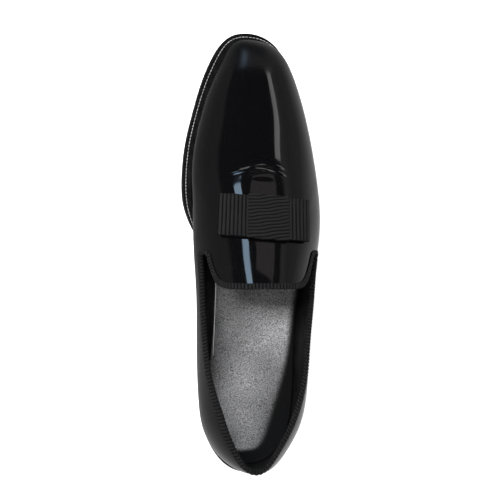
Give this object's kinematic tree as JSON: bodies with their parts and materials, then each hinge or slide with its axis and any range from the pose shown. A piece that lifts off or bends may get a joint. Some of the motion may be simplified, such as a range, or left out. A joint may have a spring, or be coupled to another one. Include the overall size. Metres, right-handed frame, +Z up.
{
  "type": "dress shoe",
  "caption": "Right black patent leather evening slipper with a ribbon-bound topline, a flat ribbon bow, a leather sole with a welt and a low stacked heel.",
  "frame": {"origin": "centre of the shoe's bounding box in plan, on the floor", "axes": "+Y to the toe, +X to the outer (lateral) side, +Z up"},
  "size_m": [0.0952, 0.303, 0.0892],
  "materials": {
    "sole_leather": "painted gloss",
    "welt_leather": "waxed, wheeled",
    "heel_leather": "waxed",
    "top_piece_leather": "painted gloss",
    "tip_rubber": "matt",
    "insole_leather": "grained",
    "patent_leather": "mirror gloss",
    "binding_ribbon": "ribbed",
    "bow_ribbon": "ribbed",
    "bow_band_ribbon": "ribbed"
  },
  "bodies": {
    "root": {"outsole": "sole_leather", "welt": "welt_leather", "heel_stack": "heel_leather", "heel_top_piece": "top_piece_leather", "heel_tip": "tip_rubber", "insole": "insole_leather", "upper": "patent_leather", "topline_binding": "binding_ribbon", "bow_ribbon": "bow_ribbon", "bow_band": "bow_band_ribbon"}
  },
  "joints": []
}
